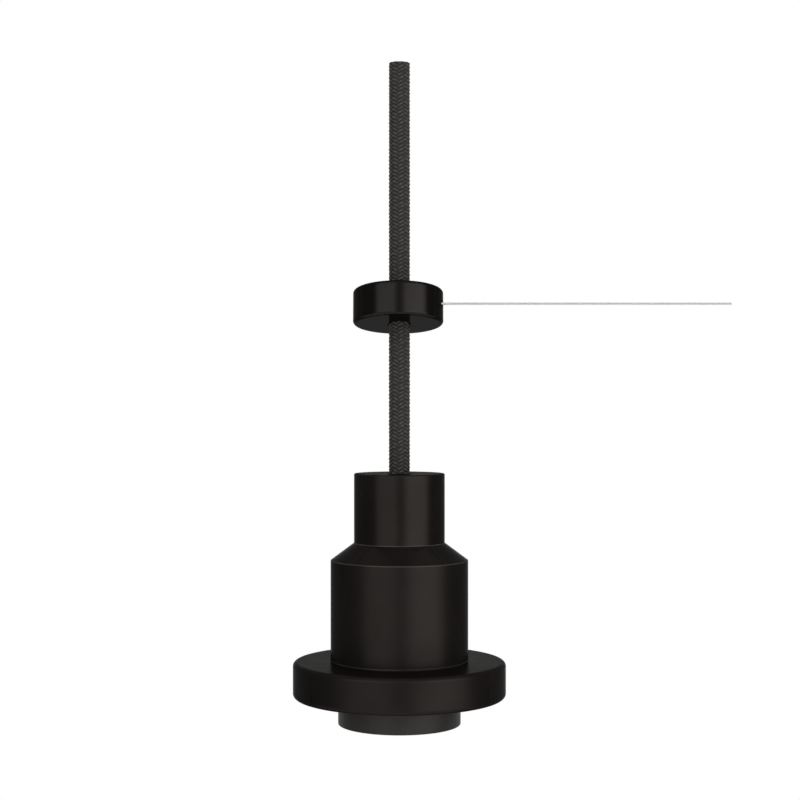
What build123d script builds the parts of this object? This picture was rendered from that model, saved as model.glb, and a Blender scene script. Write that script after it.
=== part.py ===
from build123d import *
import math
import os

# Pendant lamp holder for an E27 lamp, hung on a thick textile cord.
# Lengths are in millimetres and Z is up. The origin is the cut end of the cord, where the light is held,
# and everything else hangs below it. The front view looks along +Y.
# A round metal grip sits on the cord. A steel wire leaves the grip towards +X and holds the cord to one side.

# Cord
cord_diameter = 6.4
cord_free_length = 128.2
core_diameter = 2.2
core_ring_radius = 1.6
conductor_diameter = 1.2

# Housing, turned from one bar
neck_diameter = 28.4
neck_height = 21.7
cone_height = 5.4
barrel_diameter = 43.0
barrel_height = 31.5
housing_wall = 2.1
top_wall = 5.0
cord_hole_clearance = 0.45
housing_rim_round = 0.5
shoulder_round = 0.35
neck_foot_round = 0.3

# Wide flange ring, screwed into the barrel by its spigot
flange_diameter = 66.5
flange_thickness = 11.2
flange_round = 1.4
spigot_height = 9.0
screwed_clearance = 0.1
boss_height = 0.5
boss_round = 0.15

# Socket skirt, the moulded ring that shows below the flange
skirt_diameter = 38.3
skirt_drop = 8.4
skirt_shoulder = 1.85
skirt_seat_depth = 0.3
seat_clearance = 0.05
skirt_edge_round = 0.3
mouth_diameter = 30.6
mouth_depth = 6.6
mouth_chamfer = 0.8
lip_bore = 27.4
lip_thickness = 2.0

# Screw shell with the rounded Edison thread
thread_pitch = 3.629
thread_minor_diameter = 24.5
thread_round = 1.05
thread_depth = 1.05
shell_wall = 1.85
shell_length = 16.0
shell_clearance = 0.1

# Ceramic base between the skirt and the terminals
base_clearance = 0.3
base_thickness = 12.0
base_edge_round = 0.8
rim_bore = 25.4
barrier_thickness = 1.2
barrier_length = 24.0
barrier_height = 6.0
barrier_offset = 5.4

# Sprung centre contact
contact_diameter = 5.0
contact_tip_above_shell = 1.3
contact_tip_round = 1.2
contact_shoulder = 3.0
contact_collar_diameter = 6.4
contact_collar_thickness = 1.0
contact_stem_diameter = 3.0
contact_stem_length = 4.4
contact_running_gap = 0.25
spring_wire = 0.6
spring_outer_diameter = 5.6
spring_turns = 5

# Terminals
strap_thickness = 0.8
strap_width = 8.0
strap_margin = 1.0
terminal_spacing = 19.0
terminal_length = 7.0
terminal_width = 8.0
terminal_height = 7.0
terminal_hole = 2.0
terminal_hole_depth = 4.2
terminal_screw_drop = 2.4
terminal_screw_diameter = 3.0
terminal_head_diameter = 4.8
terminal_head_height = 1.6
neutral_leg_width = 4.4
neutral_leg_clearance = 0.2
base_screw_diameter = 3.0
base_screw_head = 5.2
base_screw_head_height = 1.8
base_screw_bite = 2.0
screw_clearance = 0.1
slot_width = 0.8
slot_depth = 0.7

# Strain relief under the housing's top wall
bush_flange_thickness = 3.0
bush_flange_clearance = 0.3
bush_barrel_diameter = 11.6
bush_barrel_length = 9.0
bush_bore_clearance = 0.05
bush_screw_radius = 8.8
bush_screw_diameter = 3.0
bush_screw_bite = 4.0
bush_screw_head = 5.0
bush_screw_head_height = 1.8
clamp_screw_diameter = 4.0
clamp_screw_head = 6.0
clamp_screw_head_height = 1.6
clamp_screw_below_flange = 4.6
clamp_tip_gap = 0.1

# Earth tag on one of the strain relief's screws
tag_thickness = 0.8
tag_ring_diameter = 5.8
tag_sleeve_diameter = 3.0
tag_sleeve_length = 5.0
tag_sleeve_at = (5.0, 7.4)

# Leads inside the housing
lead_drop = 4.0
lead_bend_radius = 2.6
lead_above_terminal = 5.0
lead_gap = 0.3

# Grip on the cord and its steel wire
grip_diameter = 28.25
grip_thickness = 10.85
grip_round = 1.1
grip_drop = 0.38
grip_side = -0.38
grip_bore_clearance = 0.35
grip_tip = 10.5
grip_tip_cuts = 5
wire_height = -75.4
wire_offset = 3.5
wire_diameter = 0.8
wire_free_length = 89.85
wire_hole_clearance = 0.25
wire_countersink = 2.6
ferrule_diameter = 2.0
ferrule_length = 5.0
ferrule_clearance = 0.3
ferrule_wall = 1.6
ferrule_loading_start = 1.5
grip_screw_diameter = 4.0
grip_screw_length = 9.0
grip_screw_clearance = 0.05
grip_screw_hex = 2.0
grip_screw_hex_depth = 2.5

# Heights that follow from the sizes above
housing_top = -cord_free_length
neck_bottom = housing_top - neck_height
barrel_top = neck_bottom - cone_height
barrel_bottom = barrel_top - barrel_height
flange_bottom = barrel_bottom - flange_thickness
skirt_bottom = flange_bottom - skirt_drop
barrel_foot = barrel_bottom + boss_height
skirt_seat = flange_bottom + skirt_seat_depth
bush_top = housing_top - top_wall
bush_flange_bottom = bush_top - bush_flange_thickness
cord_bottom = bush_flange_bottom - bush_barrel_length
base_bottom = barrel_bottom + spigot_height
base_top = base_bottom + base_thickness
lip_bottom = skirt_bottom + mouth_depth
shell_bottom = lip_bottom + lip_thickness
shell_top = shell_bottom + shell_length
strap_top = base_top + strap_thickness
terminal_top = strap_top + terminal_height
contact_tip = shell_top + contact_tip_above_shell
collar_bottom = base_bottom + contact_shoulder

# Radii that follow from the sizes above
cord_radius = cord_diameter / 2
neck_radius = neck_diameter / 2
barrel_radius = barrel_diameter / 2
neck_bore_radius = neck_radius - housing_wall
barrel_bore_radius = barrel_radius - housing_wall
spigot_radius = barrel_bore_radius - screwed_clearance
skirt_radius = skirt_diameter / 2
flange_bore_radius = skirt_radius - skirt_shoulder
sleeve_radius = flange_bore_radius - screwed_clearance
shell_bore_radius = thread_minor_diameter / 2
shell_radius = shell_bore_radius + shell_wall
shell_seat_radius = shell_radius + shell_clearance
base_radius = barrel_bore_radius - base_clearance
terminal_x = terminal_spacing / 2
leg_reach = math.sqrt(shell_radius**2 - (neutral_leg_width / 2) ** 2)
tip_rise = math.tan(math.radians(grip_tip))
grip_edge = grip_side + math.sqrt((grip_diameter / 2) ** 2 - wire_offset**2)
ferrule_end = grip_edge - ferrule_wall - ferrule_clearance
ferrule_start = ferrule_end - ferrule_length
grip_screw_tip = cord_radius + grip_bore_clearance + grip_screw_diameter / 2 * tip_rise


def turned(*points):
    """Solid of revolution about Z from a closed outline of (radius, height) points."""
    return revolve(Plane.XZ * make_face(Polyline(*points, close=True)), Axis.Z)


def rod(radius, low, high, x=0.0, y=0.0):
    """Upright round bar between two heights."""
    return Pos(x, y, low) * Cylinder(radius, high - low, align=(Align.CENTER, Align.CENTER, Align.MIN))


def block(x_low, x_high, y_low, y_high, z_low, z_high):
    """Rectangular block between three pairs of limits."""
    sizes = (x_high - x_low, y_high - y_low, z_high - z_low)
    return Pos(x_low, y_low, z_low) * Box(*sizes, align=(Align.MIN, Align.MIN, Align.MIN))


def ring_edges(part, radius, height):
    """The round edges of a turned part at one radius and height."""
    found = part.edges().filter_by(GeomType.CIRCLE)
    return [e for e in found if abs(e.radius - radius) < 1e-4 and abs(e.center().Z - height) < 1e-4]


def slotted_screw(shank_radius, shank_length, head_radius, head_height):
    """Screw with its head below Z = 0 and its shank upwards, a straight slot across the head."""
    screw = rod(shank_radius, 0, shank_length) + rod(head_radius, -head_height, 0)
    screw = fillet(ring_edges(screw, head_radius, -head_height), head_height * 0.35)
    slot = block(-head_radius, head_radius, -slot_width / 2, slot_width / 2, -head_height, slot_depth - head_height)
    return screw - slot


def make_upper_housing():
    """Neck, cone and barrel in one turned shell, with the cord's hole and two blind screw holes in its top."""
    cone_angle = math.atan2(cone_height, barrel_radius - neck_radius)
    inner_shift = housing_wall * math.tan((math.pi / 2 - cone_angle) / 2)
    body = turned(
        (0, housing_top),
        (neck_radius, housing_top),
        (neck_radius, neck_bottom),
        (barrel_radius, barrel_top),
        (barrel_radius, barrel_foot),
        (0, barrel_foot),
    )
    hollow = turned(
        (0, bush_top),
        (neck_bore_radius, bush_top),
        (neck_bore_radius, neck_bottom - inner_shift),
        (barrel_bore_radius, barrel_top - inner_shift),
        (barrel_bore_radius, barrel_foot),
        (0, barrel_foot),
    )
    body = fillet(ring_edges(body, neck_radius, housing_top), housing_rim_round)
    body = fillet(ring_edges(body, barrel_radius, barrel_top), shoulder_round)
    body = fillet(ring_edges(body, neck_radius, neck_bottom), neck_foot_round)
    hole_radius = cord_radius + cord_hole_clearance
    body = body - hollow - rod(hole_radius, bush_top, housing_top)
    body = chamfer(ring_edges(body, hole_radius, housing_top), housing_rim_round)
    for side in (-1, 1):
        body -= rod(bush_screw_diameter / 2, bush_top, bush_top + bush_screw_bite, y=side * bush_screw_radius)
    return body


def make_shade_flange():
    """Thick ring with rounded rims, a low boss under the barrel, the skirt's seat and a spigot for the barrel."""
    ring = turned(
        (flange_bore_radius, skirt_seat),
        (skirt_radius + seat_clearance, skirt_seat),
        (skirt_radius + seat_clearance, flange_bottom),
        (flange_diameter / 2, flange_bottom),
        (flange_diameter / 2, barrel_bottom),
        (barrel_radius, barrel_bottom),
        (barrel_radius, barrel_foot),
        (spigot_radius, barrel_foot),
        (spigot_radius, base_bottom),
        (flange_bore_radius, base_bottom),
    )
    rims = ring_edges(ring, flange_diameter / 2, flange_bottom)
    rims += ring_edges(ring, flange_diameter / 2, barrel_bottom)
    ring = fillet(rims, flange_round)
    return fillet(ring_edges(ring, barrel_radius, barrel_foot), boss_round)


def make_socket_skirt():
    """Moulded skirt: the ring below the flange, the lamp's mouth, the lip that carries the shell, the sleeve."""
    sleeve_top = base_bottom - base_clearance
    ring = turned(
        (mouth_diameter / 2, skirt_bottom),
        (skirt_radius, skirt_bottom),
        (skirt_radius, skirt_seat),
        (sleeve_radius, skirt_seat),
        (sleeve_radius, sleeve_top),
        (shell_seat_radius, sleeve_top),
        (shell_seat_radius, shell_bottom),
        (lip_bore / 2, shell_bottom),
        (lip_bore / 2, lip_bottom),
        (mouth_diameter / 2, lip_bottom),
    )
    ring = fillet(ring_edges(ring, skirt_radius, skirt_bottom), skirt_edge_round)
    return chamfer(ring_edges(ring, mouth_diameter / 2, skirt_bottom), mouth_chamfer)


def make_screw_shell():
    """Metal shell for the lamp's cap, with the rounded screw thread cut as a helix inside it."""
    bottom, top = shell_bottom - 2 * thread_pitch, shell_top + 2 * thread_pitch
    tube = rod(shell_radius, bottom, top) - rod(shell_bore_radius, bottom, top)
    helix_radius = shell_bore_radius + thread_depth - thread_round
    start = Pos(0, 0, shell_bottom - thread_pitch)
    path = Rot(0, 0, 17) * (start * Helix(thread_pitch, shell_length + 2 * thread_pitch, helix_radius))
    profile = Plane(path @ 0, x_dir=(path @ 0) - start.position, z_dir=path % 0) * Circle(thread_round)
    groove = sweep(profile, path=path, is_frenet=True)
    return (tube - groove) & rod(shell_radius + 1, shell_bottom, shell_top)


def make_socket_base():
    """Ceramic disc with a rim that presses on the shell, the contact's bore, screw holes and a barrier."""
    body = turned(
        (0, base_bottom),
        (rim_bore / 2, base_bottom),
        (rim_bore / 2, shell_top),
        (shell_radius, shell_top),
        (shell_radius, base_bottom),
        (base_radius, base_bottom),
        (base_radius, base_top),
        (0, base_top),
    )
    body = fillet(ring_edges(body, base_radius, base_top), base_edge_round)
    body += block(
        -barrier_offset - barrier_thickness / 2,
        -barrier_offset + barrier_thickness / 2,
        -barrier_length / 2,
        barrier_length / 2,
        base_top,
        base_top + barrier_height,
    )
    body -= rod(contact_diameter / 2 + contact_running_gap, base_bottom, collar_bottom)
    body -= rod(contact_collar_diameter / 2 + contact_running_gap, collar_bottom, base_top)
    for side in (-1, 1):
        x = side * terminal_x
        body -= rod(base_screw_diameter / 2 + screw_clearance, base_bottom, base_top, x=x)
        head_room = base_screw_head_height + screw_clearance
        body -= rod(base_screw_head / 2 + screw_clearance * 2, base_bottom, base_bottom + head_room, x=x)
    leg_out = leg_reach + neutral_leg_clearance
    leg_in = leg_reach - strap_thickness - neutral_leg_clearance
    leg_side = neutral_leg_width / 2 + neutral_leg_clearance
    body -= block(-leg_out, -leg_in, -leg_side, leg_side, shell_top, base_top)
    return body


def make_centre_contact():
    """Brass plunger with a rounded tip, a collar that stops it and a stem inside the spring."""
    collar_top = collar_bottom + contact_collar_thickness
    button = rod(contact_diameter / 2, contact_tip, collar_bottom)
    button = fillet(ring_edges(button, contact_diameter / 2, contact_tip), contact_tip_round)
    collar = rod(contact_collar_diameter / 2, collar_bottom, collar_top)
    stem = rod(contact_stem_diameter / 2, collar_top, collar_top + contact_stem_length)
    return button + collar + stem


def make_contact_spring():
    """Coil spring between the plunger's collar and the live strap."""
    low = collar_bottom + contact_collar_thickness + spring_wire / 2
    height = base_top - low - spring_wire / 2
    path = Pos(0, 0, low) * Helix(height / spring_turns, height, spring_outer_diameter / 2 - spring_wire / 2)
    profile = Plane(path @ 0, x_dir=(1, 0, 0), z_dir=path % 0) * Circle(spring_wire / 2)
    return sweep(profile, path=path, is_frenet=True)


def make_live_strap():
    """Brass strap that closes the contact's bore and runs under the live terminal."""
    reach = contact_collar_diameter / 2 + contact_running_gap + strap_margin
    outer = terminal_x + terminal_length / 2
    strap = block(-reach, outer, -strap_width / 2, strap_width / 2, base_top, strap_top)
    return strap - rod(base_screw_diameter / 2 + screw_clearance, base_top, strap_top, x=terminal_x)


def make_neutral_contact():
    """Bent brass strip: a foot under the neutral terminal and a leg down to the screw shell."""
    leg_in = leg_reach - strap_thickness
    foot_in = terminal_x - terminal_length / 2
    half = neutral_leg_width / 2
    strip = block(-leg_reach, -foot_in, -strap_width / 2, strap_width / 2, base_top, strap_top)
    strip -= rod(base_screw_diameter / 2 + screw_clearance, base_top, strap_top, x=-terminal_x)
    return strip + block(-leg_reach, -leg_in, -half, half, shell_top, base_top)


def make_terminal(side):
    """Brass terminal block with an upright wire hole, a clamp screw hole from outside and a tapped foot."""
    x = side * terminal_x
    half = terminal_width / 2
    body = block(x - terminal_length / 2, x + terminal_length / 2, -half, half, strap_top, terminal_top)
    body = chamfer(body.edges().filter_by(Axis.Z), 0.5)
    body -= rod(terminal_hole / 2, terminal_top - terminal_hole_depth, terminal_top, x=x)
    body -= rod(base_screw_diameter / 2 + screw_clearance, strap_top, strap_top + base_screw_bite, x=x)
    drill = Rot(0, side * 90, 0) * rod(terminal_screw_diameter / 2 + screw_clearance, 0, terminal_length / 2)
    return body - Pos(x, 0, terminal_top - terminal_screw_drop) * drill


def make_terminal_screws():
    """The two clamp screws of the terminals, entering from the outer sides."""
    tip = conductor_diameter / 2 + screw_clearance
    length = terminal_length / 2 - tip
    screw = slotted_screw(
        terminal_screw_diameter / 2, length, terminal_head_diameter / 2, terminal_head_height
    )
    height = terminal_top - terminal_screw_drop
    edge = terminal_x + terminal_length / 2
    right = Pos(edge, 0, height) * Rot(0, -90, 0) * screw
    left = Pos(-edge, 0, height) * Rot(0, 90, 0) * screw
    return Compound([right, left])


def make_base_screws():
    """The two screws that hold the straps and terminals on the ceramic base, heads in the socket."""
    head_seat = base_bottom + base_screw_head_height + screw_clearance
    length = strap_top + base_screw_bite - screw_clearance - head_seat
    screw = slotted_screw(base_screw_diameter / 2, length, base_screw_head / 2, base_screw_head_height)
    return Compound([Pos(side * terminal_x, 0, head_seat) * screw for side in (-1, 1)])


def make_cord_bush():
    """Nylon strain relief: a flange under the top wall and a barrel round the cord, with a side screw hole."""
    barrel_radius_here = bush_barrel_diameter / 2
    body = rod(neck_bore_radius - bush_flange_clearance, bush_flange_bottom, bush_top)
    body += rod(barrel_radius_here, cord_bottom, bush_flange_bottom)
    body = chamfer(ring_edges(body, barrel_radius_here, cord_bottom), 0.8)
    body -= rod(cord_radius + bush_bore_clearance, cord_bottom, bush_top)
    for side in (-1, 1):
        hole = bush_screw_diameter / 2 + screw_clearance
        body -= rod(hole, bush_flange_bottom, bush_top, y=side * bush_screw_radius)
    drill = Rot(0, -90, 0) * rod(clamp_screw_diameter / 2 + screw_clearance, 0, bush_barrel_diameter)
    return body - Pos(0, 0, bush_flange_bottom - clamp_screw_below_flange) * drill


def make_clamp_screw():
    """Nylon screw that presses the cord inside the strain relief."""
    tip = cord_radius + clamp_tip_gap
    length = bush_barrel_diameter / 2 - tip
    screw = slotted_screw(
        clamp_screw_diameter / 2, length, clamp_screw_head / 2, clamp_screw_head_height
    )
    height = bush_flange_bottom - clamp_screw_below_flange
    return Pos(-bush_barrel_diameter / 2, 0, height) * Rot(0, 90, 0) * screw


def make_bush_screws():
    """The two screws of the strain relief, one of them over the earth tag."""
    screws = []
    for side in (-1, 1):
        seat = bush_flange_bottom - (tag_thickness if side > 0 else 0)
        length = bush_top + bush_screw_bite - screw_clearance - seat
        screw = slotted_screw(bush_screw_diameter / 2 - screw_clearance / 2, length, bush_screw_head / 2,
                              bush_screw_head_height)
        screws.append(Pos(0, side * bush_screw_radius, seat) * screw)
    return Compound(screws)


def make_earth_tag():
    """Tinned ring tag under one strain relief screw, with its crimp sleeve pointing down."""
    x, y = tag_sleeve_at
    low = bush_flange_bottom - tag_thickness
    plate = rod(tag_ring_diameter / 2, low, bush_flange_bottom, y=bush_screw_radius)
    plate += rod(tag_sleeve_diameter / 2, low, bush_flange_bottom, x=x, y=y)
    angle = math.degrees(math.atan2(y - bush_screw_radius, x))
    reach = math.hypot(x, y - bush_screw_radius)
    neck = Rot(0, 0, angle) * block(0, reach, -tag_sleeve_diameter / 2, tag_sleeve_diameter / 2, 0, tag_thickness)
    plate += Pos(0, bush_screw_radius, low) * neck
    plate -= rod(bush_screw_diameter / 2 + screw_clearance, low, bush_flange_bottom, y=bush_screw_radius)
    sleeve = rod(tag_sleeve_diameter / 2, low - tag_sleeve_length, low, x=x, y=y)
    return plate + sleeve - rod(core_diameter / 2, low - tag_sleeve_length, low - tag_thickness, x=x, y=y)


def core_start(angle):
    """Where a core leaves the cord's lower end."""
    turn = math.radians(angle)
    return core_ring_radius * math.cos(turn), core_ring_radius * math.sin(turn)


def lead_along(*points):
    """Insulated lead of round section along straight runs joined by arcs."""
    path = FilletPolyline(*points, radius=lead_bend_radius)
    profile = Plane(path @ 0, z_dir=path % 0) * Circle(core_diameter / 2)
    return sweep(profile, path=path)


def make_terminal_lead(angle, side):
    """Lead from the cord's end to a terminal, with its bare conductor in the terminal's hole."""
    x, y = core_start(angle)
    end_x = side * terminal_x
    turn_height = terminal_top + lead_above_terminal
    lead = lead_along(
        (x, y, cord_bottom),
        (x, y, cord_bottom - lead_drop),
        (end_x, 0, turn_height),
        (end_x, 0, terminal_top + lead_gap),
    )
    hole_bottom = terminal_top - terminal_hole_depth
    return lead + rod(conductor_diameter / 2, hole_bottom + lead_gap, terminal_top + lead_gap, x=end_x)


def make_earth_lead():
    """Lead from the cord's end round and up into the earth tag's sleeve."""
    x, y = tag_sleeve_at
    start_x, start_y = core_start(math.degrees(math.atan2(y, x)))
    low = cord_bottom - lead_drop - core_diameter
    top = bush_flange_bottom - 2 * tag_thickness - lead_gap
    return lead_along((start_x, start_y, cord_bottom), (start_x, start_y, low), (x, y, low), (x, y, top))


def make_textile_cord():
    """The cord, straight under the lamp's weight, from its cut end down into the strain relief."""
    return rod(cord_radius, cord_bottom, 0)


def grip_place(tip):
    """Where the grip sits when it is tipped by this many degrees about the wire that carries it."""
    return Pos(0, -wire_offset, wire_height) * Rot(tip, 0, 0) * Pos(0, wire_offset, 0)


def make_grip_disc():
    """Thick round grip: rounded rims, a bore that lets it rock on the cord, the wire's and the screw's holes."""
    radius = grip_diameter / 2
    low, high = -grip_thickness / 2 - grip_drop, grip_thickness / 2 - grip_drop
    body = rod(radius, low, high, x=grip_side)
    body = fillet(ring_edges(body, radius, low) + ring_edges(body, radius, high), grip_round)
    for cut in range(grip_tip_cuts):
        tip = grip_tip * (2 * cut / (grip_tip_cuts - 1) - 1)
        cord = rod(cord_radius + grip_bore_clearance, wire_height - grip_diameter, wire_height + grip_diameter)
        body -= grip_place(tip).inverse() * cord
    pocket_end = grip_edge - ferrule_wall
    pocket_radius = ferrule_diameter / 2 + ferrule_clearance
    pocket = rod(pocket_radius, ferrule_loading_start, pocket_end)
    hole = rod(wire_diameter / 2 + wire_hole_clearance, pocket_end, radius)
    sink = Pos(0, 0, grip_edge) * Cone(
        wire_diameter / 2 + wire_hole_clearance,
        wire_countersink / 2 + wire_offset * 0.2,
        wire_countersink / 2,
    )
    body -= Pos(0, -wire_offset, 0) * Rot(0, 90, 0) * (pocket + hole + sink)
    screw_hole = rod(grip_screw_diameter / 2 + grip_screw_clearance, 0, radius)
    body -= Rot(-90, 0, 0) * screw_hole
    return grip_place(-grip_tip) * body


def make_grip_screw():
    """Grub screw with a hexagon socket, in the grip's back, behind the cord."""
    outer = grip_screw_tip + grip_screw_length
    body = rod(grip_screw_diameter / 2, grip_screw_tip, outer)
    socket = extrude(RegularPolygon(grip_screw_hex / 2, 6, major_radius=False), grip_screw_hex_depth)
    body -= Pos(0, 0, outer - grip_screw_hex_depth) * socket
    return grip_place(-grip_tip) * Rot(-90, 0, 0) * body


def wire_run(radius, start, end):
    """Round bar along +X on the wire's line."""
    return Pos(0, -wire_offset, wire_height) * Rot(0, 90, 0) * rod(radius, start, end)


def make_wire_ferrule():
    """Crimped sleeve on the wire's inner end, caught behind the grip's wall."""
    sleeve = wire_run(ferrule_diameter / 2, ferrule_start, ferrule_end)
    return sleeve - wire_run(wire_diameter / 2, ferrule_start, ferrule_end)


def make_steel_wire():
    """Thin stranded wire, straight, from the ferrule out to its cut end."""
    return wire_run(wire_diameter / 2, ferrule_start, grip_edge + wire_free_length)


earth_angle = math.degrees(math.atan2(tag_sleeve_at[1], tag_sleeve_at[0]))
nodes = {
    "textile_cord": make_textile_cord(),
    "upper_housing": make_upper_housing(),
    "shade_flange": make_shade_flange(),
    "socket_skirt": make_socket_skirt(),
    "screw_shell": make_screw_shell(),
    "socket_base": make_socket_base(),
    "centre_contact": make_centre_contact(),
    "contact_spring": make_contact_spring(),
    "live_strap": make_live_strap(),
    "neutral_contact": make_neutral_contact(),
    "live_terminal": make_terminal(1),
    "neutral_terminal": make_terminal(-1),
    "terminal_screws": make_terminal_screws(),
    "base_screws": make_base_screws(),
    "cord_bush": make_cord_bush(),
    "clamp_screw": make_clamp_screw(),
    "bush_screws": make_bush_screws(),
    "earth_tag": make_earth_tag(),
    "live_lead": make_terminal_lead(earth_angle - 120, 1),
    "neutral_lead": make_terminal_lead(earth_angle + 120, -1),
    "earth_lead": make_earth_lead(),
    "grip_disc": make_grip_disc(),
    "grip_screw": make_grip_screw(),
    "wire_ferrule": make_wire_ferrule(),
    "steel_wire": make_steel_wire(),
}

os.makedirs("parts", exist_ok=True)
for name, shape in nodes.items():
    export_step(shape, f"parts/{name}.step")
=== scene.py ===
import math

import bpy
import numpy as np
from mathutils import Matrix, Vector


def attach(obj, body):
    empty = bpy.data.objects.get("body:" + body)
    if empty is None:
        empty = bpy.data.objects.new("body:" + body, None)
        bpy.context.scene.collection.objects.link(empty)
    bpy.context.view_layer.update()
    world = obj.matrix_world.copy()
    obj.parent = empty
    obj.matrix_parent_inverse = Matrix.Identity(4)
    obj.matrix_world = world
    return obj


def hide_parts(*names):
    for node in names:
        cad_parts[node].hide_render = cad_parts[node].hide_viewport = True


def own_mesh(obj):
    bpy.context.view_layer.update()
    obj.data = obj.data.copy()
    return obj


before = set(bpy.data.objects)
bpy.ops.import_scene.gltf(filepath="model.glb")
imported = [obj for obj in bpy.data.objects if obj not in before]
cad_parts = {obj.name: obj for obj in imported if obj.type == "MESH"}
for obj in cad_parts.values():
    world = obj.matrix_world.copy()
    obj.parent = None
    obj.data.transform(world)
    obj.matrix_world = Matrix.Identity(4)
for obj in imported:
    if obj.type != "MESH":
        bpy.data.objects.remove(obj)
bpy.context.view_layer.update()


# Stand of the photograph: a level camera half a metre in front of the hanging light.
# Its aim, lens and height are those that put the light where the photograph has it.

def aim(thing, place, target):
    """Puts a camera at a place, looking at a target."""
    thing.location = place
    thing.rotation_euler = (Vector(target) - Vector(place)).to_track_quat("-Z", "Y").to_euler()


bpy.context.scene.view_settings.view_transform = "Standard"
camera_data = bpy.data.cameras.new("camera")
camera_data.lens = 74.25
camera = bpy.data.objects.new("camera", camera_data)
bpy.context.scene.collection.objects.link(camera)
aim(camera, (0.00019, -0.516, -0.1053), (0.00019, 0.0, -0.1053))
bpy.context.scene.camera = camera


# Light of the photograph, drawn on the room's sky: two large soft lamps in front, left and
# right, a weak fill between them and a weak glow overhead, with white paper behind and below
# in a room that is otherwise dim.

class Tone:
    """A shader socket; a sum written on it adds the Math node that does it."""

    def __init__(self, nodes, output):
        self.nodes = nodes
        self.output = output

    def math(self, operation, *values):
        return self.nodes.add("ShaderNodeMath", {"operation": operation}, *values)

    def part(self, name):
        """Another output of the node that this socket belongs to."""
        return Tone(self.nodes, self.output.node.outputs[name])

    def __add__(self, other):
        return self.math("ADD", self, other)

    def __sub__(self, other):
        return self.math("SUBTRACT", self, other)

    def __rsub__(self, other):
        return self.math("SUBTRACT", other, self)

    def __mul__(self, other):
        return self.math("MULTIPLY", self, other)

    def __truediv__(self, other):
        return self.math("DIVIDE", self, other)

    __radd__ = __add__
    __rmul__ = __mul__


class Nodes:
    """A node tree to which nodes are added with their settings and values in one call."""

    def __init__(self, owner):
        owner.use_nodes = True
        self.tree = owner.node_tree
        self.tree.nodes.clear()

    def put(self, socket, value):
        if isinstance(value, Tone):
            self.tree.links.new(value.output, socket)
        elif socket.type == "RGBA" and len(value) == 3:
            socket.default_value = (*value, 1.0)
        else:
            socket.default_value = value

    def add(self, kind, settings, *values, **named):
        """One node: its settings first, then its sockets in order or by name."""
        node = self.tree.nodes.new(kind)
        for key, value in settings.items():
            if key == "stops":
                while len(node.color_ramp.elements) < len(value):
                    node.color_ramp.elements.new(0.5)
                for stop, (place, colour) in zip(node.color_ramp.elements, value):
                    stop.position = place
                    stop.color = (*colour, 1.0)
            else:
                setattr(node, key, value)
        for socket, value in zip([s for s in node.inputs if s.enabled], values):
            self.put(socket, value)
        for key, value in named.items():
            self.put(node.inputs[key.replace("_", " ")], value)
        return Tone(self, next((s for s in node.outputs if s.enabled), None))

    def axes(self, vector):
        """The three numbers of a vector."""
        split = self.add("ShaderNodeSeparateXYZ", {}, vector)
        return split, split.part("Y"), split.part("Z")

    def step(self, value, low, high):
        """Smooth step from 0 at low to 1 at high."""
        smooth = {"interpolation_type": "SMOOTHSTEP"}
        return self.add("ShaderNodeMapRange", smooth, value, low, high, 0.0, 1.0)


world = bpy.data.worlds.new("room")
bpy.context.scene.world = world
room = Nodes(world)
ray = room.add("ShaderNodeLightPath", {})
x, y, z = room.axes(room.add("ShaderNodeTexCoord", {}))
turned = x.math("ARCTAN2", x, 0 - y)
raised = z.math("ARCSINE", z)


def soft_lamp(turn_deg, rise_deg, half_width_deg, half_height_deg, brightness):
    """Glow on the sky, even across its width, that fades to its sides, top and bottom."""
    across = (turned - math.radians(turn_deg)) / math.radians(half_width_deg)
    up = (raised - math.radians(rise_deg)) / math.radians(half_height_deg)
    cube = across * across * across
    return brightness * across.math("EXPONENT", 0 - (cube * cube + up * up))


left_lamp = soft_lamp(-34, 14, 27, 32, 1.27)
right_lamp = soft_lamp(46, 8, 31, 27, 1.95)
overhead = soft_lamp(0, 90, 200, 50, 0.3)
fill = soft_lamp(3, 5, 20, 40, 0.3)
dim_room = 0.04
from_above = ray.part("Is Diffuse Ray") * (0.13 + 0.7 * room.step(z, -0.2, 0.9))
lit = left_lamp + right_lamp + overhead + fill + dim_room + from_above
white = room.step(y, 0.15, 0.55) * ray.part("Is Glossy Ray")
white = white.math("MAXIMUM", white, ray.part("Is Transmission Ray"))
white = white.math("MAXIMUM", white, lit)
level = white.math("MAXIMUM", ray, white * (1 - ray))
sky = room.add("ShaderNodeBackground", {}, (1.0, 1.0, 1.0), level)
room.add("ShaderNodeOutputWorld", {}, sky)


# Floor: a wide sheet of white paper well below the hanging light. Close under the light it
# takes its lamps and its shadow; far away it is as white as the paper behind.

bpy.ops.object.select_all(action="DESELECT")
bpy.ops.mesh.primitive_circle_add(vertices=96, radius=1.6, fill_type="NGON", location=(0, 0, -0.75))
floor = bpy.context.active_object
floor.name = "floor"


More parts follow.
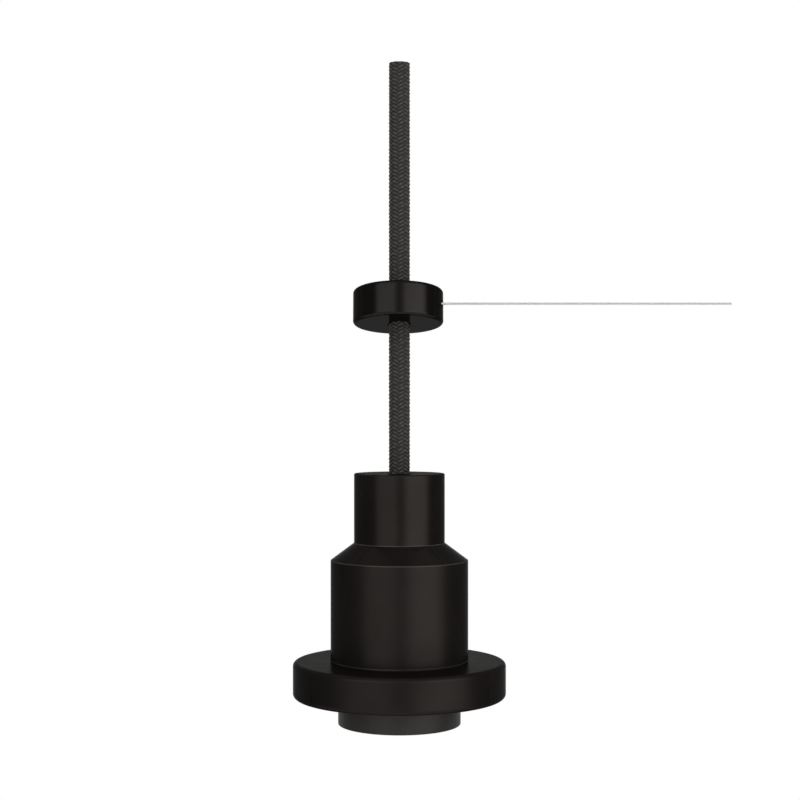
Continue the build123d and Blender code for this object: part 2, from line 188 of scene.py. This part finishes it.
class Finish(Nodes):
    """A material made of nodes, closed by one Principled shader."""

    def __init__(self, name, **constants):
        self.material = bpy.data.materials.new(name)
        super().__init__(self.material)
        self.close = self.tree.nodes.new("ShaderNodeOutputMaterial")
        self.shader = self.tree.nodes.new("ShaderNodeBsdfPrincipled")
        self.tree.links.new(self.shader.outputs[0], self.close.inputs[0])
        self.use(**constants)

    def place(self):
        """Object coordinates, in metres."""
        return self.add("ShaderNodeTexCoord", {}).part("Object")

    def joined(self, x, y, z):
        return self.add("ShaderNodeCombineXYZ", {}, x, y, z)

    def noise(self, vector, scale, detail=2.0, roughness=0.5):
        settings = {"Vector": vector, "Scale": scale, "Detail": detail, "Roughness": roughness}
        return self.add("ShaderNodeTexNoise", {}, **settings)

    def span(self, value, low, high):
        """A value from 0 to 1 spread from low to high."""
        return value * (high - low) + low

    def ramp(self, value, *stops):
        return self.add("ShaderNodeValToRGB", {"stops": stops}, value)

    def between(self, first, second, share):
        """Colour between two, by a share from 0 to 1."""
        mix = self.add("ShaderNodeMix", {"data_type": "RGBA"}, A=first, B=second, Factor=share)
        return Tone(self, mix.output.node.outputs[2])

    def shape(self, height, depth, strength=1.0):
        """A Bump node on a height from 0 to 1, depth in metres."""
        return self.add("ShaderNodeBump", {}, Height=height, Distance=depth, Strength=strength)

    def use(self, **links):
        for key, value in links.items():
            self.put(self.shader.inputs[key.replace("_", " ")], value)
        return self

    def dress(self, *things):
        for thing in things:
            thing.data.materials.clear()
            thing.data.materials.append(self.material)


paper_white = Finish("white_paper", Base_Color=(0.86, 0.86, 0.86), Roughness=0.9, Specular_IOR_Level=0.1)
x, y, _ = paper_white.axes(paper_white.place())
far = paper_white.step(x.math("SQRT", x * x + y * y), 0.5, 1.3)
ray = paper_white.add("ShaderNodeLightPath", {})
shown = ray.math("MAXIMUM", ray, ray.part("Is Glossy Ray") * paper_white.step(y, 0.0, 0.5))
shown = shown.math("MAXIMUM", shown, ray.part("Is Transmission Ray"))
glow = paper_white.add("ShaderNodeEmission", {}, (1.0, 1.0, 1.0), 1.0)
paper_skin = Tone(paper_white, paper_white.shader.outputs[0])
mixed = paper_white.add("ShaderNodeMixShader", {}, shown * far, paper_skin, glow)
paper_white.put(paper_white.close.inputs[0], mixed)
paper_white.dress(floor)


# Textile cord: a round flex in a charcoal polyester braid, hanging straight from its cut
# upper end into the housing. Ten carriers run each way, one yarn on each, over two and under
# two, which gives the upright rows of slanting stitches.

def route(name, points):
    """NURBS line through the space of a cord; its points are read back evenly spaced."""
    data = bpy.data.curves.new(name, "CURVE")
    data.dimensions = "3D"
    data.resolution_u = 24
    spline = data.splines.new("NURBS")
    spline.points.add(len(points) - 1)
    for point, place in zip(spline.points, points):
        point.co = (*place, 1.0)
    spline.order_u = 3
    spline.use_endpoint_u = True
    line = bpy.data.objects.new(name, data)
    bpy.context.scene.collection.objects.link(line)
    bpy.context.view_layer.update()
    read = bpy.data.meshes.new_from_object(line)
    places = [v.co.copy() for v in read.vertices]
    bpy.data.meshes.remove(read)
    bpy.data.objects.remove(line)
    return np.array(places, float)


def along(places, distances):
    """Places and directions on a read line at distances from its start."""
    steps = np.linalg.norm(np.diff(places, axis=0), axis=1)
    reached = np.concatenate([[0], np.cumsum(steps)])
    nearby = 1e-4

    def at(where):
        return np.stack([np.interp(where, reached, places[:, i]) for i in range(3)], axis=1)

    heading = at(distances + nearby) - at(distances - nearby)
    return at(distances), heading / np.linalg.norm(heading, axis=1)[:, None]


def mesh_piece(name, points, faces):
    """Object from points and faces, at the origin, shaded smooth."""
    data = bpy.data.meshes.new(name)
    data.from_pydata([tuple(p) for p in points], [], [tuple(f) for f in faces])
    data.polygons.foreach_set("use_smooth", [True] * len(data.polygons))
    data.update()
    piece = bpy.data.objects.new(name, data)
    bpy.context.scene.collection.objects.link(piece)
    return piece


cord_diameter = 0.0064
cord_length = 0.1452
cord_heights = (0, -0.036, -0.073, -0.109, -cord_length)
cord_places = route("cord_line", [(0, 0, height) for height in cord_heights])
carriers = 10
fine = 6  # points across one yarn
braid_lead = 0.0118
around = carriers * fine
rows = round(cord_length / braid_lead * 2 * around)
row, column = np.meshgrid(np.arange(rows + 1), np.arange(around), indexing="ij")
turn_index = 2 * column + row % 2
one_way = (turn_index - row) / 2 / fine
other_way = (turn_index + row) / 2 / fine


def yarn_height(one_way, other_way):
    """Height of the braid from 0 to 1, a round yarn on each carrier that is arched where it
    floats; a share of painted light, high on the crests and arches as painted highlight and low
    in the gaps as painted shade; and which way the yarn on top runs."""
    first, second = np.floor(one_way + 0.5), np.floor(other_way + 0.5)
    on_top = np.mod(first + second, 4) < 1.5
    across = np.where(on_top, one_way - first, other_way - second)
    float_share = np.where(
        on_top,
        np.mod(other_way + first + 0.5, 4) / 2,
        (np.mod(one_way + second + 0.5, 4) - 2) / 2,
    )
    roundness = np.sqrt(np.clip(1 - (2 * across) ** 2, 0, 1))
    arch = np.sin(np.pi * np.clip(float_share, 0, 1)) ** 0.7
    second_set = 40  # keeps the numbers of the two sets of yarns apart
    yarn = np.where(on_top, first, second_set + second)
    looseness = 0.5 + 0.5 * np.sin(yarn * 12.9898 + 4.1 * np.where(on_top, second, first))
    height = (0.15 + 0.85 * roundness) * (0.4 + 0.6 * arch) * (1 - 0.2 * looseness)
    # Painted light: crests and arches lighter as painted highlight, yarn edges and gaps darker as painted
    # shade.
    light = (0.5 + 0.5 * np.cos(2 * np.pi * across)) * (0.35 + 0.65 * arch) * (1 - 0.45 * looseness)
    return height, light, on_top


height, light, _ = yarn_height(one_way, other_way)
turn = 2 * math.pi * turn_index / (2 * around)
turn = turn + 0.05 * np.sin(row * 0.011) + 0.02 * np.sin(row * 0.053 + 1.3)
spots, heading = along(cord_places, np.arange(rows + 1) * cord_length / rows)
squeeze_from, squeeze_over = -0.1295, 0.001  # where the housing's hole grips the braid
stands_out, squeeze, relief = 0.00017, 0.00013, 0.0004
squeezed = np.clip((squeeze_from - spots[:, 2]) / squeeze_over, 0, 1)[:, None]
radius = cord_diameter / 2 + stands_out - squeeze * squeezed - relief * (1 - height)
side = np.cross(heading, np.array([0.0, 1.0, 0.0]))
side /= np.linalg.norm(side, axis=1)[:, None]
front = np.cross(heading, side)
braid_points = (
    spots[:, None, :]
    + (radius * np.cos(turn))[..., None] * side[:, None, :]
    + (radius * np.sin(turn))[..., None] * front[:, None, :]
).reshape(-1, 3)


def braid_index(turn_at, row_at):
    return (row_at * around + (np.mod(turn_at, 2 * around) // 2)).astype(int)


low_row, low_turn = row[:-2].ravel(), turn_index[:-2].ravel()
diamonds = np.stack(
    [
        braid_index(low_turn, low_row),
        braid_index(low_turn + 1, low_row + 1),
        braid_index(low_turn, low_row + 2),
        braid_index(low_turn - 1, low_row + 1),
    ],
    axis=1,
)
first_rows, last_rows = np.array([0, 0, 1]), np.array([rows, rows - 1, rows - 1])
ends = [tuple(braid_index(np.array([t, t + 2, t + 1]), first_rows)) for t in turn_index[0]]
ends += [tuple(braid_index(np.array([t, t - 1, t + 1]), last_rows)) for t in turn_index[-1]]
braid = mesh_piece("braided_cord", braid_points, [tuple(d) for d in diamonds] + ends)

# Each face takes the yarn on top at its middle, and its corners are placed along and across it.
corner_points = np.zeros(len(braid.data.loops), int)
braid.data.loops.foreach_get("vertex_index", corner_points)
middle_one = np.concatenate([((low_turn - low_row) / 2 - 0.5) / fine, np.zeros(len(ends))])
middle_other = np.concatenate([((low_turn + low_row) / 2 + 0.5) / fine, np.zeros(len(ends))])
_, _, face_top = yarn_height(middle_one, middle_other)
corners_of = np.array([len(p.vertices) for p in braid.data.polygons])
face_of = np.repeat(np.arange(len(corners_of)), corners_of)
own_row, own_column = corner_points // around, corner_points % around
own_turn = 2 * own_column + own_row % 2
face_turn = (middle_one + middle_other)[face_of] * fine
own_turn = own_turn + np.round(face_turn / (2 * around) - own_turn / (2 * around)) * 2 * around
corner_one, corner_other = (own_turn - own_row) / 2 / fine, (own_turn + own_row) / 2 / fine
top = face_top[face_of]
set_apart = 20  # so that the two sets of yarns don't share their grain
yarn_across = np.where(top, corner_one, corner_other + set_apart)
yarn_uv = np.stack([yarn_across, np.where(top, corner_other, corner_one)], axis=1)
uv = braid.data.uv_layers.new(name="yarn")
uv.data.foreach_set("uv", yarn_uv.astype(np.float32).ravel())
# Stores the painted light share of each point, used to paint shade and highlight into the colour.
in_light = braid.data.attributes.new("in_light", "FLOAT", "POINT")
in_light.data.foreach_set("value", light.astype(np.float32).ravel())

charcoal = Finish("charcoal_braid", Specular_IOR_Level=0.25)
yarn_at = charcoal.add("ShaderNodeUVMap", {"uv_map": "yarn"})
across, length_on, _ = charcoal.axes(yarn_at)
strands = charcoal.noise(charcoal.joined(across * 26, length_on * 2.2, 0.0), 1.0, 2.0, 0.6)
stretches = charcoal.noise(charcoal.joined(across * 2.0, length_on * 0.9, 3.0), 1.0, 1.0)
painted_light_share = charcoal.add("ShaderNodeAttribute", {"attribute_name": "in_light"}).part("Fac")
# The painted light share darkens the gaps as painted shade and lightens the crests as painted highlight;
# the strands and stretches are the yarn's own tone.
blend = painted_light_share * 0.6 + strands * 0.4 + stretches * 0.35 - 0.17
# The darkest stop is painted shade in the gaps, the lightest a painted highlight on the yarn crests.
in_shade, yarn_grey, painted_crest_grey = (0.010, 0.0093, 0.0088), (0.037, 0.0342, 0.0325), (0.100, 0.094, 0.090)
charcoal.use(
    Base_Color=charcoal.ramp(blend, (0.1, in_shade), (0.45, yarn_grey), (0.9, painted_crest_grey)),
    Roughness=charcoal.span(strands, 0.5, 0.75),
    Normal=charcoal.shape(strands, 0.00008, 0.8),
).dress(braid)
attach(braid, "lamp")
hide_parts("textile_cord")


# Cut end of the cord: the black inner sheath stands a little below the braid's edge, with
# three insulated copper cores in it.

def clean_start():
    """Leaves edit mode and deselects everything before a new primitive."""
    if bpy.context.object and bpy.context.object.mode != "OBJECT":
        bpy.ops.object.mode_set(mode="OBJECT")
    bpy.ops.object.select_all(action="DESELECT")


def stub(name, radius, place, rise, lip, sides=48):
    """Short round stub standing up from a place, its edge rounded, its end set in by a lip."""
    clean_start()
    bpy.ops.mesh.primitive_circle_add(vertices=sides, radius=radius, fill_type="NGON", location=place)
    piece = bpy.context.active_object
    piece.name = name
    bpy.ops.object.mode_set(mode="EDIT")
    bpy.ops.mesh.select_all(action="SELECT")
    bpy.ops.mesh.extrude_region_move(TRANSFORM_OT_translate={"value": (0, 0, rise)})
    bpy.ops.mesh.inset(thickness=lip, depth=lip * 0.5)
    bpy.ops.object.mode_set(mode="OBJECT")
    bpy.ops.object.transform_apply(location=True, rotation=True, scale=True)
    bpy.ops.object.shade_smooth_by_angle(angle=math.radians(35))
    return piece


sheath_black = Finish("inner_sheath", Roughness=0.5)
spots_at = sheath_black.noise(sheath_black.place(), 2500.0, 3.0)
sheath_black.use(
    Base_Color=sheath_black.ramp(spots_at, (0.3, (0.012, 0.012, 0.012)), (0.7, (0.03, 0.029, 0.028))),
    Roughness=sheath_black.span(spots_at, 0.4, 0.6),
    Normal=sheath_black.shape(spots_at, 0.00003, 0.5),
)
sheath = stub("cord_sheath", 0.00275, (0, 0, -0.004), 0.0034, 0.00008)
sheath_black.dress(sheath)
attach(sheath, "lamp")


def insulation(name, colour, stripe=None):
    """Smooth PVC insulation, plain or with a stripe that winds round it."""
    finish = Finish(name, Roughness=0.35, Specular_IOR_Level=0.5)
    cloud = finish.noise(finish.place(), 900.0, 2.0)
    second, share = [c * 0.7 for c in colour], cloud
    if stripe:
        x, y, z = finish.axes(finish.place())
        winding = x.math("SINE", x * 900 + y * 500 + z * 700)
        second = stripe
        share = finish.add("ShaderNodeMapRange", {}, winding, -0.1, 0.1, 0.0, 1.0)
    finish.use(
        Base_Color=finish.between(colour, second, share),
        Roughness=finish.span(cloud, 0.28, 0.45),
        Normal=finish.shape(cloud, 0.00002, 0.4),
    )
    return finish


brown = insulation("brown_insulation", (0.13, 0.05, 0.02))
blue = insulation("blue_insulation", (0.02, 0.12, 0.45))
green_yellow = insulation("green_yellow_insulation", (0.08, 0.30, 0.04), (0.75, 0.62, 0.03))


def bare_metal(name, colour, roughness, grain=1200.0):
    """Plain drawn or turned metal: slight spots of tarnish and a fine grain."""
    finish = Finish(name, Metallic=1.0)
    tarnish = finish.noise(finish.place(), grain * 0.15, 3.0)
    grit = finish.noise(finish.place(), grain * 3, 2.0)
    spotted = finish.ramp(tarnish, (0.4, (0, 0, 0)), (0.75, (1, 1, 1)))
    finish.use(
        Base_Color=finish.between(colour, [c * 0.72 for c in colour], spotted),
        Roughness=finish.span(tarnish, roughness * 0.8, roughness * 1.35),
        Normal=finish.shape(grit, 0.00002, 0.35),
    )
    return finish


copper = bare_metal("copper_strands", (0.80, 0.36, 0.20), 0.3)
core_ring, core_radius, copper_radius = 0.00145, 0.00105, 0.00058
core_height, copper_height, core_rise = -0.0009, -0.0007, 0.00045
cores = []
for number, finish in enumerate((brown, blue, green_yellow)):
    turn = math.radians(90 + 120 * number)
    x, y = core_ring * math.cos(turn), core_ring * math.sin(turn)
    core = stub(f"cord_core_{number + 1}", core_radius, (x, y, core_height), core_rise, 0.0001, 32)
    finish.dress(core)
    copper_place = (x, y, copper_height)
    copper_end = stub(f"cord_conductor_{number + 1}", copper_radius, copper_place, core_rise, 0.00006, 24)
    copper.dress(copper_end)
    cores += [core, copper_end]
for piece in cores:
    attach(piece, "lamp")


# Steel wire: six bright strands laid round a seventh, fixed in the grip and cut off at its
# free end. It runs out level to the right.

wire_diameter = 0.0008
wire_start, wire_end = 0.0064045, 0.1031545
wire_y, wire_z = -0.0035, -0.0754
wire_stops = (wire_start, 0.03, 0.055, 0.08, wire_end)
wire_places = route("wire_line", [(stop, wire_y, wire_z) for stop in wire_stops])
wire_length = wire_end - wire_start
wire_lay = 0.0069
strand_radius = wire_diameter / 6
strand_steps = 420
strand_sides = 8
wire_points, wire_faces = [], []
for strand in range(7):
    off_centre = 0.0 if strand == 6 else 2 * strand_radius
    distances = np.linspace(0, wire_length, strand_steps + 1)
    spots, heading = along(wire_places, distances)
    side = np.cross(heading, np.array([0.0, 0.0, 1.0]))
    up = np.cross(side, heading)
    lay_turn = 2 * np.pi * (distances / wire_lay + strand / 6)
    centre = spots + off_centre * (np.cos(lay_turn)[:, None] * side + np.sin(lay_turn)[:, None] * up)
    start = len(wire_points)
    for spoke in range(strand_sides):
        spoke_turn = 2 * np.pi * spoke / strand_sides + lay_turn
        outwards = np.cos(spoke_turn)[:, None] * side + np.sin(spoke_turn)[:, None] * up
        wire_points += list(centre + strand_radius * outwards)
    width = strand_steps + 1
    for spoke in range(strand_sides):
        a, b = start + spoke * width, start + (spoke + 1) % strand_sides * width
        wire_faces += [(a + i, a + i + 1, b + i + 1, b + i) for i in range(strand_steps)]
    wire_faces.append([start + spoke * width for spoke in range(strand_sides)])
    wire_faces.append([start + spoke * width + strand_steps for spoke in reversed(range(strand_sides))])
wire = mesh_piece("stranded_wire", wire_points, wire_faces)
bright = Finish("bright_steel_strand", Metallic=1.0)
x, y, z = bright.axes(bright.place())
drawn = bright.noise(bright.joined(x * 300, y * 9000, z * 9000), 1.0, 2.0)
bright.use(
    Base_Color=bright.ramp(drawn, (0.3, (0.78, 0.78, 0.77)), (0.7, (0.93, 0.93, 0.92))),
    Roughness=bright.span(drawn, 0.24, 0.4),
    Normal=bright.shape(drawn, 0.00001, 0.4),
).dress(wire)
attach(wire, "wire")
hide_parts("steel_wire")


# Housing, flange and grip: turned from aluminium bar and black anodised. The satin skin is
# smooth, with faint rings left by the lathe. Fine lighter lines at the edges of the turned
# steps are painted highlights, and the holes of the grip are painted near-black as painted shade.

# Heights of the step edges where thin lighter lines are painted as highlights.
painted_highlight_edges = (-0.1499, -0.1553, -0.1863)
highlight_line_half, highlight_line_fade = 0.00008, 0.0002
# Painted shade: near-black colour put in the grip's cord bore and wire hole.
painted_hole_shade = (0.004, 0.0036, 0.0034)


def anodised(name, colour, roughness, centre=(0.0, 0.0), duller=(), bored=False, metal=0.68, gloss=1.05):
    """Black anodised skin with lathe rings about an upright axis through a centre, with lighter
    lines at the step edges as painted highlights, or, when bored, the grip's holes painted
    near-black as painted shade. Each of the duller bands is two heights and the roughness it
    adds; bored is for the grip."""
    finish = Finish(name, Metallic=metal, IOR=gloss, Specular_Tint=(0.076, 0.068, 0.063))
    x, y, z = finish.axes(finish.place())
    x, y = x - centre[0], y - centre[1]
    out = x.math("SQRT", x * x + y * y)
    rings = finish.noise(finish.joined(out * 2600, z * 2600, 0.0), 1.0, 3.0, 0.6)
    cloud = finish.noise(finish.place(), 70.0, 3.0, 0.55)
    skin = finish.ramp(cloud, (0.3, [c * 0.9 for c in colour]), (0.7, [c * 1.1 for c in colour]))
    if bored:
        # Painted shade: masks of the wire hole and the cord bore, painted near-black.
        across, up = y - wire_y, z - wire_z
        near_wire = 1 - finish.step(across * across + up * up, 1.2e-6, 1.9e-6)
        wire_hole = near_wire * finish.step(x, 0.004, 0.006)
        cord_hole = 1 - finish.step(out, 0.0036, 0.0039)
        painted_tone, painted_share = painted_hole_shade, wire_hole.math("MAXIMUM", wire_hole, cord_hole)
        dull = wire_hole * 0.8
    else:
        # Painted highlight: a lighter colour in thin bands at the step edges.
        gaps = [z.math("ABSOLUTE", z - height) for height in painted_highlight_edges]
        painted_tone = [c * 3.2 for c in colour]
        painted_share = sum(1 - finish.step(gap, highlight_line_half, highlight_line_fade) for gap in gaps)
        dull = sum(finish.step(z, low, high) * more for low, high, more in duller)
    finish.use(
        Base_Color=finish.between(skin, painted_tone, painted_share),
        Roughness=finish.span(cloud, roughness * 0.85, roughness * 1.15) + rings * 0.03 + dull,
        Normal=finish.shape(rings, 0.0000012, 0.5),
    )
    return finish


black = (0.0254, 0.0222, 0.0208)
grip_black = (0.0254, 0.0231, 0.0219)
grip_centre = (-0.00038, 0.0)
sawn_end, barrel_shoulder = (-0.1287, -0.1284, 0.24), (-0.1545, -0.1555, 0.07)
housing_skin = anodised("anodised_housing", black, 0.22, duller=[sawn_end, barrel_shoulder])
housing_skin.dress(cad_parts["upper_housing"])
anodised("anodised_flange", [c * 0.9 for c in black], 0.30).dress(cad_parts["shade_flange"])
grip_skin = anodised("anodised_grip", grip_black, 0.10, grip_centre, bored=True, metal=0.8, gloss=1.08)
grip_skin.dress(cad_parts["grip_disc"])


# Socket skirt: moulded from black thermoset, matt, with a fine grain and rounded rims.

thermoset = Finish("black_thermoset", Metallic=0.4, IOR=1.2, Specular_Tint=(0.1, 0.1, 0.1))
grain = thermoset.noise(thermoset.place(), 5200.0, 3.0, 0.6)
bloom = thermoset.noise(thermoset.place(), 160.0, 3.0)
thermoset.use(
    Base_Color=thermoset.ramp(bloom, (0.3, (0.0405, 0.0388, 0.0360)), (0.7, (0.0475, 0.0455, 0.0424))),
    Roughness=thermoset.span(bloom, 0.34, 0.46),
    Normal=thermoset.shape(grain, 0.000012, 0.5),
).dress(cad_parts["socket_skirt"])


# Metal inside of the socket: plated screw shell, sprung plunger and brass straps and
# terminals, held by zinc-plated screws, and the black set screw in the back of the grip.

def solids(*names):
    """Pieces of the solid model, by their names."""
    return [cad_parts[name] for name in names]


plated = bare_metal("plated_shell", (0.70, 0.68, 0.63), 0.22)
plated.dress(*solids("screw_shell"))
brass = bare_metal("brass", (0.72, 0.50, 0.22), 0.25)
brass.dress(*solids("centre_contact", "live_strap", "neutral_contact"))
brass.dress(*solids("live_terminal", "neutral_terminal", "wire_ferrule"))
zinc = bare_metal("zinc_steel", (0.56, 0.56, 0.55), 0.35)
zinc.dress(*solids("terminal_screws", "base_screws", "bush_screws", "earth_tag"))
dark_steel = bare_metal("black_screw", (0.03, 0.03, 0.03), 0.4)
dark_steel.dress(*solids("grip_screw"))


# Contact spring: a copy of the solid's mesh with its points merged.

spring = bare_metal("spring_steel", (0.42, 0.42, 0.42), 0.28, 4000.0)
clean_start()
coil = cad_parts["contact_spring"].copy()
coil.data = coil.data.copy()
coil.name = "pressed_coil"
bpy.context.scene.collection.objects.link(coil)
coil.select_set(True)
bpy.context.view_layer.objects.active = coil
bpy.ops.object.mode_set(mode="EDIT")
bpy.ops.mesh.select_all(action="SELECT")
bpy.ops.mesh.remove_doubles(threshold=1e-7)
bpy.ops.object.mode_set(mode="OBJECT")
bpy.ops.object.shade_smooth_by_angle(angle=math.radians(35))
spring.dress(coil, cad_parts["contact_spring"])
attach(coil, "lamp")
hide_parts("contact_spring")
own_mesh(coil)


# Ceramic base between the skirt and the terminals: white, under a thin and slightly uneven
# glaze with fine pits.

ceramic = Finish("white_ceramic", Coat_Roughness=0.08)
glaze = ceramic.noise(ceramic.place(), 260.0, 4.0)
pits = ceramic.noise(ceramic.place(), 2600.0, 2.0)
ceramic.use(
    Base_Color=ceramic.ramp(glaze, (0.3, (0.74, 0.71, 0.64)), (0.7, (0.84, 0.82, 0.77))),
    Roughness=ceramic.span(glaze, 0.3, 0.5),
    Coat_Weight=ceramic.span(glaze, 0.5, 0.9),
    Normal=ceramic.shape(pits, 0.00003, 0.4),
).dress(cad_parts["socket_base"])


# Strain relief and leads under the housing's top wall: white nylon bush and clamp screw,
# and three PVC leads.

nylon = Finish("white_nylon", Subsurface_Weight=0.1, Subsurface_Radius=(0.001, 0.001, 0.001))
milky = nylon.noise(nylon.place(), 400.0, 3.0)
nylon.use(
    Base_Color=nylon.ramp(milky, (0.3, (0.70, 0.69, 0.64)), (0.7, (0.80, 0.79, 0.75))),
    Roughness=nylon.span(milky, 0.4, 0.6),
    Normal=nylon.shape(milky, 0.00003, 0.4),
).dress(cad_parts["cord_bush"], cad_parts["clamp_screw"])
brown.dress(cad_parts["live_lead"])
blue.dress(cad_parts["neutral_lead"])
green_yellow.dress(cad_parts["earth_lead"])
